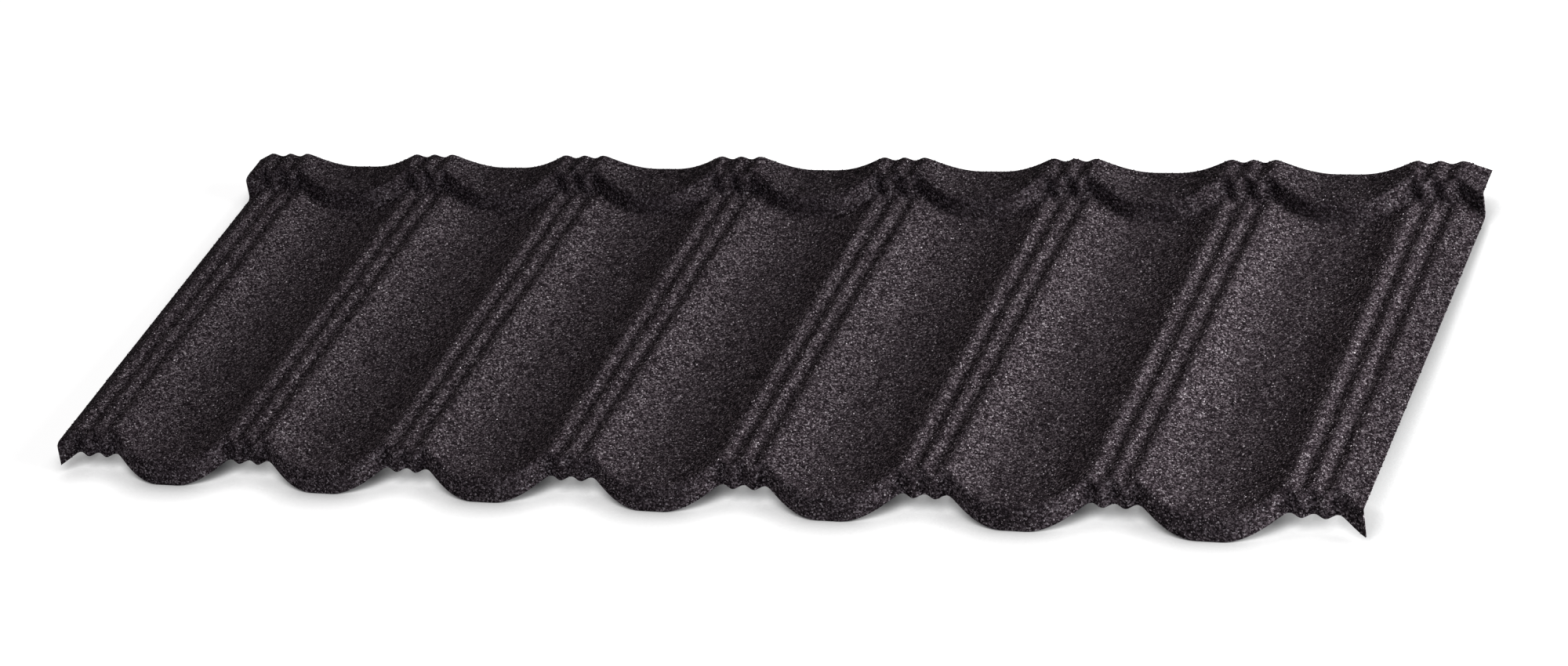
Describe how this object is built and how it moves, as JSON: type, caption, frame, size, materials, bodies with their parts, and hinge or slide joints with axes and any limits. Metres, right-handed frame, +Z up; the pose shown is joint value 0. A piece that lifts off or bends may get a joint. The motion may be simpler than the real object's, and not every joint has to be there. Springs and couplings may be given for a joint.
{
  "type": "tile effect metal roofing sheet",
  "caption": "Stone coated steel roofing sheet pressed as a row of tile pans with ribbed crowns, a turned down nose and a raised back strip",
  "frame": {"origin": "on the floor under the middle of the sheet's bounding box, with the sheet lying unheld", "axes": "+X along the sheet across its pans, +Y from the nose to the back edge, +Z up"},
  "size_m": [1.3132, 0.4558, 0.0377],
  "materials": {
    "granule_coated_steel": "near black stone granules bonded to steel, rough, with light grey specks"
  },
  "bodies": {
    "root": {"roofing_sheet": "granule_coated_steel"}
  },
  "joints": []
}
